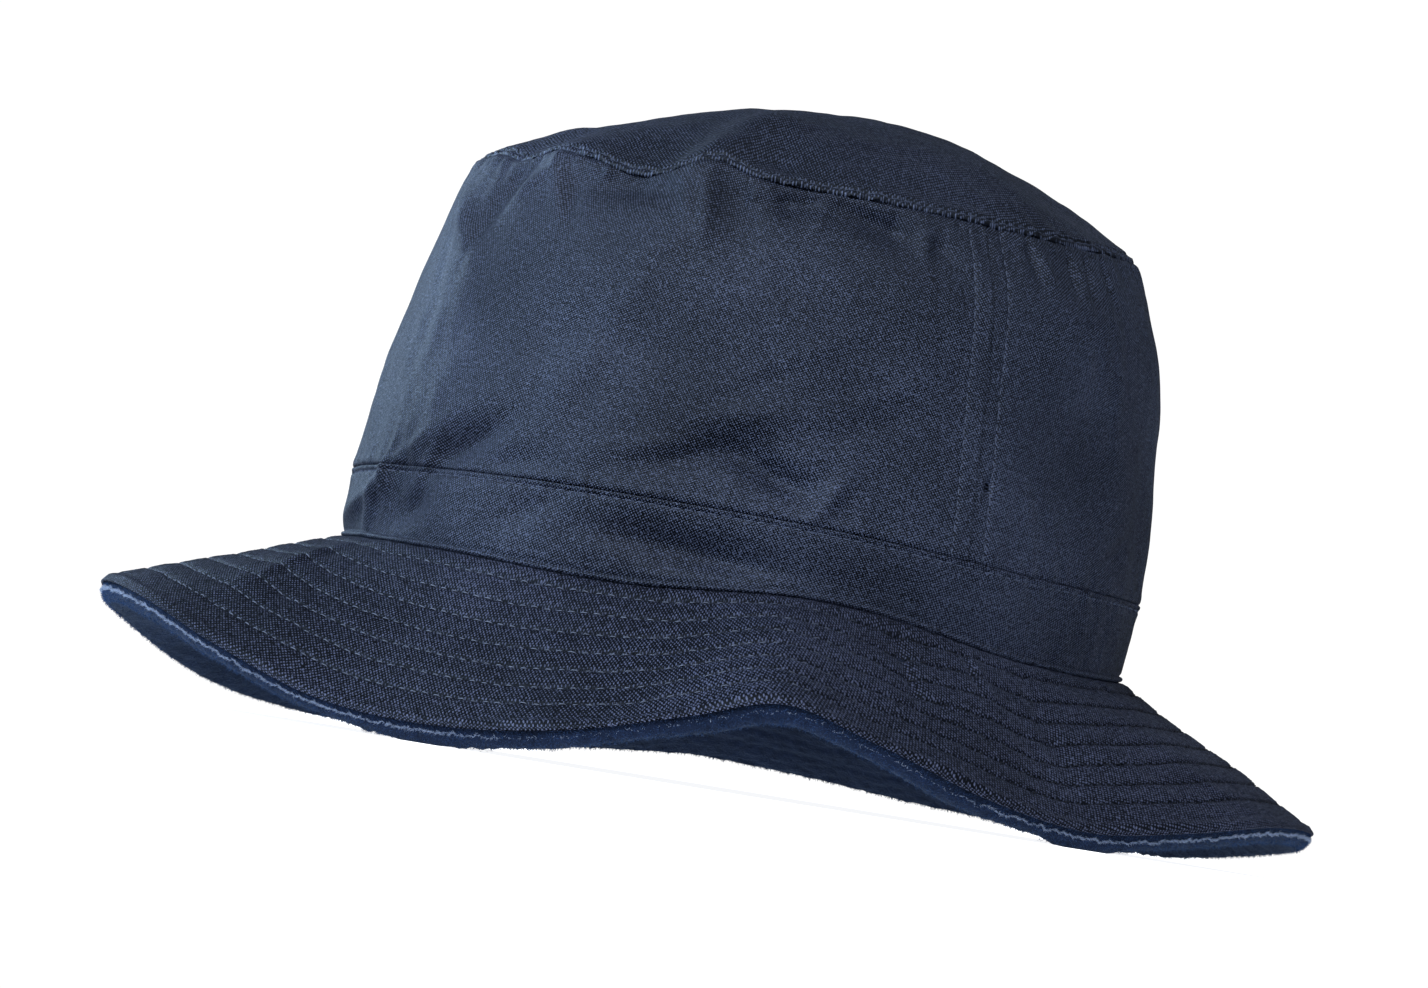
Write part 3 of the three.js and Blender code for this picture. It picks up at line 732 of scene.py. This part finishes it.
def panel(name, node_name, start, stop):
    """One side panel of the crown."""
    R = 90.0
    across = np.radians(stop - start) * R + 0.03
    degs = start + np.degrees((steps(across, 0.92, marks=(SEAM_LINE, across - SEAM_LINE)) - 0.015) / R)
    up = steps(87.0, 0.93)
    ts = BAND + 0.0005 + (1 - BAND - 0.0010) * up / 87.0
    D, T = np.meshgrid(degs, ts)
    outer = side(D, T, "crown")
    tin = ts[::2][::-1]
    Di, Ti = np.meshgrid(degs, tin)
    inner = side(Di, Ti, "crown", -CLOTH)
    ring = np.concatenate([outer, inner])
    uv = np.stack([np.radians(np.concatenate([D, Di])) * R, np.concatenate([T, Ti]) * 105.0], -1)
    o = loft(name, ring, False, len(ts), [NAVY, INNER], uv)
    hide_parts(node_name)
    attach(o, "root")
    made[name] = o
    return o


panel("crown_front_cloth", "crown_front", SIDE_SEAMS[0], SIDE_SEAMS[1])
panel("crown_back_cloth", "crown_back", SIDE_SEAMS[1], SIDE_SEAMS[0] + 360.0)

# crown top
degs = np.arange(0, 360, 360 / 500)
away = steps(74.0, 1.35, last=False, marks=(2.1,))
rhos = 1 - away[away < 73.0] / 74.0
D, Q = np.meshgrid(degs, rhos[::-1])
outer = tip(D, Q)
Di, Qi = np.meshgrid(degs, rhos[::2])
n = normal(crest, Di, Qi)
mix = smooth((1 - Qi) / 0.12)[..., None]
way = -outward(Di) * (1 - mix) - n * mix
way /= np.linalg.norm(way, axis=-1, keepdims=True)
inner = crest(Di, Qi) + way * (CLOTH / np.maximum(0.4, -(way * n).sum(-1)))[..., None]
inner[..., 2] += GAP / 2
ring = np.concatenate([outer, inner])
crest_top = tip(np.array([0.0]), np.array([1e-4]))[0]
crest_in = crest(np.array([0.0]), np.array([0.0]))[0] + np.array([0, 0, GAP / 2 - CLOTH])
top = loft("crown_top_cloth", ring, True, len(rhos), [NAVY, INNER], ring[..., :2] * np.array([1.0, 0.55]), ends=(crest_top, crest_in))
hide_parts("crown_top")
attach(top, "root")

# band
degs = np.arange(0, 360, 0.6)
up = np.unique(np.concatenate([steps(19.5, 0.8, marks=(18.0,)), [0.2, 0.42, 0.62, 1.0, 1.3, 1.42, 1.6]]))
ts = np.concatenate([[-1.0, -0.6, -0.3, -0.1], (BAND - 0.0005) * up / 19.5])
D, T = np.meshgrid(degs, ts)
outer = side(D, T, "band")
Di, Ti = np.meshgrid(degs, ts[::2][::-1])
inner = wall(Di, np.maximum(Ti, 0))
dents = 1.28 * folds(CREASES, lambda f: (np.radians(apart(Di, f[0])) * MEAN_RADIUS, inner[..., 2] - f[1])) * smooth((Ti + 0.004) / 0.05)
inner = inner + outward(Di) * (np.minimum(dents, 0.0) - BAND_CLOTH)[..., None]
inner[..., 2] += np.where(Ti < 0, Ti * TUCK, 0.0)
uv = np.stack([np.radians(np.concatenate([D, Di])) * 92, np.concatenate([T, Ti]) * 108.0], -1)
band = loft("band_cloth", np.concatenate([outer, inner]), True, len(ts), [NAVY, INNER], uv)
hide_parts("band")
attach(band, "root")

# brim shell: upper face, rounded edge, lower face
degs = np.arange(0, 360, 0.6)
beside = np.array([-3.2, -2.4, -1.6, -0.9, -0.45, -0.2, 0.0, 0.2, 0.45, 0.9, 1.6, 2.4, 3.2])
stops = np.concatenate([[0.0, 0.12, 0.3, 0.6, 1.0], *[ROW_FIRST + ROW_STEP * k + beside for k in range(ROWS)],
                        np.arange(54.6, 60.6, 0.6), [60.8, 61.1, 61.35]])
top_q = np.unique(np.round(stops, 4)) / BRIM
turn = np.radians(np.linspace(72, -75, 8))
half = SHELL / 2
edge_q = (BRIM - 0.65 + 0.65 * np.cos(turn)) / BRIM
edge_d = 0.40 + half * 0.72 - half * 0.72 * np.sin(turn)
D, Q = np.meshgrid(degs, top_q)
upper = brim_top(D, Q)
De, Qe = np.meshgrid(degs, edge_q)
rim = layer(De, Qe, np.broadcast_to(edge_d[:, None], De.shape))
back = np.concatenate([top_q[::5], [(BRIM - 1.1) / BRIM]])[::-1]
Di, Qi = np.meshgrid(degs, back)
lower = layer(Di, Qi, SHELL)
ring = np.concatenate([upper, rim, lower])
Dr, Qr = np.concatenate([D, De, Di]), np.concatenate([Q, Qe, Qi])
# the cloth's coordinates run round the brim, and along it at a coarser scale
along = np.concatenate([BRIM * Q, BRIM + 0.0 * Qe + np.cumsum(np.full(len(edge_q), 0.3))[:, None], 80 + BRIM * Qi])
turned = np.radians(Dr)
uv = np.stack([(0.80 * turned - 0.10 * np.sin(2 * turned)) * (MEAN_RADIUS + 0.45 * BRIM), (0.95 - 0.57 * np.sin(turned) ** 2) * along], -1)
shell = loft("brim_shell_cloth", ring, True, len(top_q) + len(edge_q), [QUILT, INNER], uv)
# painted shade for the brim's material: 1 along each ring of stitches, fading within about half a mm
line = np.zeros(ring.shape[:2])
line[:len(top_q)] = bell(np.abs((BRIM * top_q - ROW_FIRST + ROW_STEP / 2) % ROW_STEP - ROW_STEP / 2) / 0.5)[:, None]
line[:len(top_q)][(BRIM * top_q < ROW_FIRST - 3) | (BRIM * top_q > ROW_FIRST + ROW_STEP * (ROWS - 0.5))] = 0.0
shell.data.attributes.new("painted_row_shade", "FLOAT", "POINT").data.foreach_set("value", line.astype(np.float32).ravel())
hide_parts("brim_shell")
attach(shell, "root")

# brim lining: its profile runs under the brim from the seam to the edge, up round the edge and back
clump_a, clump_b = Ripple(71, 3.4, 18), Ripple(72, 1.9, 18)


def press(p):
    z = p[..., 2]
    p[..., 2] = np.where(z < PRESS, np.maximum(0.0, 2 * z - PRESS), z)
    return p


def under(deg, q, depth, rough):
    """A point of the lining, with the tufts of its pile."""
    base = layer(deg, q, depth)
    away = q * BRIM
    tuft = 0.11 * clump_a(base) + 0.09 * clump_b(base) + 0.25 * drape(base)
    row = np.abs((away - ROW_FIRST + ROW_STEP / 2) % ROW_STEP - ROW_STEP / 2)
    row = np.where((away > ROW_FIRST + ROW_STEP * (ROWS - 0.5)) | (away < ROW_FIRST - 3), 9.0, row)
    sunk = -0.35 * bell(row / 1.1) * (depth > SHELL + GAP + 1.5)
    return layer(deg, q, depth + (tuft * 1.0 + sunk) * rough)


r0 = SHELL + GAP
flat_q = (np.concatenate([np.linspace(0, BRIM - 2.2, 66), [BRIM - 2.0]])) / BRIM
angles = np.radians(np.linspace(-80, 84, 13))
# rounded rim, half the pile's depth
rim_q = (BRIM - 2.0 + 2.0 * np.cos(angles)) / BRIM
rim_d = r0 + PILE / 2 - PILE / 2 * np.sin(angles)
back_q = np.linspace(BRIM - 2.3, 0, 24) / BRIM
prof_q = np.concatenate([flat_q, rim_q, back_q])
prof_d = np.concatenate([np.full(len(flat_q), r0 + PILE), rim_d, np.full(len(back_q), r0)])
prof_r = np.concatenate([np.full(len(flat_q), 1.0), 1.0 - 0.75 * (angles + 1.4) / 2.8, np.zeros(len(back_q))])
degs = np.arange(0, 360, 0.6)
D, Q = np.meshgrid(degs, prof_q)
Dp, Rp = np.broadcast_to(prof_d[:, None], D.shape), np.broadcast_to(prof_r[:, None], D.shape)
ring = press(under(D, Q, Dp, Rp))
lining = loft("brim_lining_pile", ring, True, len(flat_q) + len(rim_q), [FLEECE, INNER], ring[..., :2].copy())
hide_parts("brim_lining")
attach(lining, "root")


# ---------------------------------------------------------------- stitches
def stitch_mesh(name, rows, material, thick=0.15):
    """Joined short stitches. rows is a list of (n, 4, 3) points along each stitch with (n, 4, 3) normals."""
    P = np.concatenate([r[0] for r in rows])
    Nn = np.concatenate([r[1] for r in rows])
    n, m, sides = len(P), P.shape[1], 5
    tangent = np.gradient(P, axis=1)
    tangent /= np.linalg.norm(tangent, axis=-1, keepdims=True)
    across = np.cross(tangent, Nn)
    across /= np.linalg.norm(across, axis=-1, keepdims=True)
    up = np.cross(across, tangent)
    thick = (thick * np.array([0.47, 1.0, 1.0, 0.47]))[None, :, None, None]
    ang = np.linspace(0, 2 * math.pi, sides, endpoint=False)
    ringp = P[:, :, None] + thick * (np.cos(ang)[None, None, :, None] * across[:, :, None] + 0.8 * np.sin(ang)[None, None, :, None] * up[:, :, None])
    idx = np.arange(n * m * sides).reshape(n, m, sides)
    a, b = idx[:, :-1], idx[:, 1:]
    quads = np.stack([a, np.roll(a, -1, 2), np.roll(b, -1, 2), b], -1).reshape(-1, 4)
    caps = np.concatenate([idx[:, 0, ::-1], idx[:, -1]])
    pts = ringp.reshape(-1, 3)
    if volume(pts[:m * sides], [quads[:(m - 1) * sides], np.stack([caps[0], caps[n]])]) < 0:
        quads, caps = quads[:, ::-1], caps[:, ::-1]
    o = piece(name, pts, [quads, caps], [material])
    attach(o, "root")
    return o


def sewn(surface, deg, v, length, seed, along_v=False, per_deg=None, per_v=None, proud=0.0):
    """Stitches along a line on a surface: centres (deg, v), each length mm long."""
    r = np.random.default_rng(seed)
    n = len(deg)
    share = np.array([-0.5, -0.22, 0.22, 0.5])
    lift = np.array([-0.12, 0.13 + proud, 0.13 + proud, -0.12])
    wob = r.uniform(-0.5, 0.5, (n, 1))
    ln = length * (1 + r.uniform(-0.1, 0.1, (n, 1)))
    if along_v:
        dd = deg[:, None] + wob * 0.05 + 0 * share
        vv = v[:, None] + share * ln * per_v
    else:
        dd = deg[:, None] + share * ln * per_deg[:, None]
        vv = v[:, None] + wob * 0.0012 + 0 * share
    base = surface(dd, vv, 0.0)
    out = surface(dd, vv, 1.0) - base
    return base + out * lift[None, :, None], out


def ring_of_stitches(surface, v_of, radius_of, pitch, length, seed, proud=0.0):
    degs = []
    d = 0.0
    while d < 360.0:
        degs.append(d)
        d += math.degrees(pitch / radius_of(d))
    degs = np.array(degs) * 360.0 / d
    rad = np.array([radius_of(x) for x in degs])
    return sewn(surface, degs, v_of(degs), length, seed, per_deg=np.degrees(1 / rad), proud=proud)


def radius_at(surface, v):
    table = surface(np.arange(0, 360, 5.0), np.full(72, float(v)))
    seg = np.linalg.norm(np.roll(table, -1, 0) - table, axis=1) / math.radians(5)
    return lambda d: float(np.interp(d % 360, np.arange(2.5, 362.5, 5.0), seg, period=360))


rows = []
for k in range(ROWS):
    q = (ROW_FIRST + k * ROW_STEP) / BRIM
    rows.append(ring_of_stitches(brim_top, lambda d, q=q: q + 0 * d + 0.0016 * np.sin(np.radians(d * 7 + k * 50)), radius_at(brim, q), 3.3, 2.15, 100 + k, 0.12))
stitch_mesh("brim_stitches", rows, THREAD, 0.155)

rows = []
rows.append(ring_of_stitches(lambda d, t, lift=0.0: side(d, t, "band", lift),
                             lambda d: BAND - 1.5 * BAND / (section(d)[1] - section(d)[0]), radius_at(wall, 0.17), 3.0, 2.2, 120))
rows.append(ring_of_stitches(tip, lambda d: 1 - 2.1 / (tip_reach(d) * 1.06), radius_at(crest, 0.98), 3.0, 2.2, 121))
zs = np.arange(BAND + 0.014, 0.985, 3.0 / 104)
for at in SIDE_SEAMS:
    for s_ in (-1, 1):
        p = wall(np.full_like(zs, at), zs)
        rad = np.hypot(p[:, 0], p[:, 1])
        d = at + s_ * np.degrees(SEAM_LINE / rad)
        rows.append(sewn(lambda dd, vv, lift=0.0: side(dd, vv, "crown", lift), d, zs, 1.7, 130 + s_, along_v=True, per_v=1 / 104))
stitch_mesh("crown_stitches", rows, SEAM_THREAD)

# ---------------------------------------------------------------- pile fibres


def fibres(name, seed, deg, ang, inward, length, width, loose, material):
    """Closed thin spikes standing out of the lining, round its rim (ang, degrees above the lower
    corner) or out of its lower face, inward mm from the edge."""
    r = np.random.default_rng(seed)
    n = len(deg)
    a = np.radians(ang)
    on_rim = inward <= 0
    q = np.where(on_rim, (BRIM - 2.0 + 2.0 * np.cos(a)) / BRIM, 1 - inward / BRIM)
    depth = np.where(on_rim, r0 + PILE / 2 - PILE / 2 * np.sin(a), r0 + PILE)
    rough = np.where(on_rim, 1.0 - 0.75 * (a + 1.4) / 2.8, 1.0)
    base = press(under(deg, q, depth, rough))
    down = -normal(brim, deg, q)
    edge = layer(deg, np.ones(n), 0.0) - layer(deg, np.full(n, 0.97), 0.0)
    edge /= np.linalg.norm(edge, axis=1, keepdims=True)
    face = np.where(on_rim[:, None], edge * np.cos(a)[:, None] - down * np.sin(a)[:, None], down)
    face = face + r.normal(0, loose, (n, 3))
    face /= np.linalg.norm(face, axis=1, keepdims=True)
    long = length * r.uniform(0.55, 1.25, n)
    s1 = np.cross(face, r.normal(size=(n, 3)))
    s1 /= np.linalg.norm(s1, axis=1, keepdims=True)
    s2 = np.cross(face, s1)
    root = base - face * 0.12
    corners = [root + width * (math.cos(k) * s1 + math.sin(k) * s2) for k in (0, 2 * math.pi / 3, 4 * math.pi / 3)]
    point = base + face * long[:, None] + r.normal(0, 0.10, (n, 3))
    pts = np.stack([*corners, point], 1)[point[:, 2] > 0.05]
    pts[..., 2] = np.maximum(pts[..., 2], 0.02)
    idx = np.arange(len(pts) * 4).reshape(-1, 4)
    tri = np.concatenate([idx[:, [0, 1, 3]], idx[:, [1, 2, 3]], idx[:, [2, 0, 3]], idx[:, [0, 2, 1]]])
    flat = pts.reshape(-1, 3)
    if volume(flat, [tri]) < 0:
        tri = tri[:, ::-1]
    o = piece(name, flat, [tri], [material])
    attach(o, "root")
    return o


rng = np.random.default_rng(9)
n = 20000
fibres("pile_rim", 31, rng.uniform(0, 360, n), rng.uniform(-70, 66, n), np.zeros(n), 0.80, 0.085, 0.55, RIM)
n = 16000
fibres("pile_under", 32, rng.uniform(0, 360, n), np.full(n, -80.0), 1.2 + 50 * rng.uniform(0, 1, n) ** 1.6, 0.7, 0.085, 0.7, FIBRE)
# pale fibres along the middle of the rim: a painted highlight of the pile's lit fringe, sparser where the brim arches
# and the fringe is painted dim
n = 20000
at = rng.uniform(0, 360, n)
at = at[rng.random(n) > 0.92 * smooth((at - 238) / 14) * (1 - smooth((at - 293) / 9))]
lip = 3.2 * Line(77, 9.0)(np.radians(at) * 150.0) + 2.6 * Line(78, 2.8, 12, 0.7)(np.radians(at) * 150.0)
fibres("pile_lip_highlight", 33, at, 24 + lip + rng.normal(0, 3.0, len(at)), np.zeros(len(at)), 0.80, 0.08, 0.36, LIT_TIPS)

# ---------------------------------------------------------------- stage
mesh = bpy.data.meshes.new("floor")
ring_of = [(0.75 * math.cos(a), 0.75 * math.sin(a), 0.0) for a in np.linspace(0, 2 * math.pi, 96, endpoint=False)]
mesh.from_pydata(ring_of, [], [tuple(range(96))])
floor = bpy.data.objects.new("floor", mesh)
bpy.context.scene.collection.objects.link(floor)
fm, ft, fb = nodes_of("pale_floor")
fb.inputs["Base Color"].default_value = (0.82, 0.83, 0.84, 1)
fb.inputs["Roughness"].default_value = 0.9
fb.inputs["Specular IOR Level"].default_value = 0.1
fb.inputs["Emission Color"].default_value = (0.97, 0.98, 1.0, 1)
seen = ft.nodes.new("ShaderNodeLightPath").outputs["Is Camera Ray"]
ft.links.new(math_node(ft, "MULTIPLY_ADD", seen, 0.45, 0.50), fb.inputs["Emission Strength"])
mesh.materials.append(fm)
floor.visible_glossy = False     # lights the cloth softly from below, without mirroring in it

# an even white surround to look at, and a dimmer one to light the cloth
world = bpy.data.worlds.new("studio")
bpy.context.scene.world = world
world.use_nodes = True
wt = world.node_tree
fill = wt.nodes["Background"]
fill.inputs[0].default_value = (0.90, 0.95, 1.0, 1)
fill.inputs[1].default_value = 0.07
plain = wt.nodes.new("ShaderNodeBackground")
plain.inputs[0].default_value = (1, 1, 1, 1)
plain.inputs[1].default_value = 1.05
pick = wt.nodes.new("ShaderNodeMixShader")
wt.links.new(wt.nodes.new("ShaderNodeLightPath").outputs["Is Camera Ray"], pick.inputs[0])
wt.links.new(fill.outputs[0], pick.inputs[1])
wt.links.new(plain.outputs[0], pick.inputs[2])
wt.links.new(pick.outputs[0], wt.nodes["World Output"].inputs[0])


def lamp(name, at, aim, size, power, color=(1, 1, 1), size_y=None):
    d = bpy.data.lights.new(name, "AREA")
    d.energy = power
    d.color = color
    d.shape = "RECTANGLE"
    d.size = size
    d.size_y = size_y or size
    o = bpy.data.objects.new(name, d)
    o.location = at
    o.rotation_euler = (Vector(aim) - Vector(at)).to_track_quat("-Z", "Y").to_euler()
    bpy.context.scene.collection.objects.link(o)
    return o


lamp("left_back", (-1.00, 1.25, 0.50), (-0.05, 0, 0.1), 0.4, 4.3, (0.56, 0.78, 1.0), 0.9)
lamp("left_side", (-1.60, 0.30, 0.60), (-0.05, 0, 0.1), 0.7, 7.8, (0.58, 0.79, 1.0), 1.0)
lamp("left_soft", (-1.45, -0.60, 0.75), (-0.05, 0, 0.09), 0.6, 5.8, (0.72, 0.87, 1.0), 0.9)
lamp("key_front", (-0.90, -1.20, 1.25), (0, 0, 0.08), 0.7, 15.7, (1.0, 0.99, 0.98))
lamp("top_soft", (0.25, -0.5, 1.7), (0, 0, 0.1), 1.2, 3.4, (0.97, 0.98, 1.0))
lamp("right_top", (1.00, -0.95, 1.20), (0.05, 0, 0.06), 0.8, 3.2, (0.98, 0.98, 1.0))
# a wide lamp for the floor alone, which keeps it pale out to its edge
floor_lamp = lamp("floor_soft", (0, 0, 2.0), (0, 0, 0), 4.0, 50)
lit = bpy.data.collections.new("lit_floor")
lit.objects.link(floor)
floor_lamp.light_linking.receiver_collection = lit

# camera at the photograph's angle, level with the brim and just above the floor
DISTANCE, LOW, AIM_Z, ROLL, PX_MM = 1600.0, 7.3, 73.8, 9.2, 3.935
aim = Vector((-9.0 + MIDDLE[0], MIDDLE[1], AIM_Z)) * MM
eye = Vector((-9.0 + MIDDLE[0], MIDDLE[1] - DISTANCE, LOW)) * MM
ahead = (aim - eye).normalized()
right = ahead.cross(Vector((0, 0, 1))).normalized()
above = right.cross(ahead)
c, s = math.cos(math.radians(ROLL)), math.sin(math.radians(ROLL))
right, above = right * c + above * s, above * c - right * s
cam_data = bpy.data.cameras.new("camera")
cam_data.sensor_width = 36.0
cam_data.lens = PX_MM * DISTANCE * 36.0 / 1428.0
cam_data.clip_end = 50.0
cam = bpy.data.objects.new("camera", cam_data)
cam.matrix_world = Matrix((
    (right.x, above.x, -ahead.x, eye.x), (right.y, above.y, -ahead.y, eye.y), (right.z, above.z, -ahead.z, eye.z), (0, 0, 0, 1)))
bpy.context.scene.collection.objects.link(cam)
bpy.context.scene.camera = cam
bpy.context.scene.view_settings.view_transform = "Standard"

bpy.context.view_layer.update()
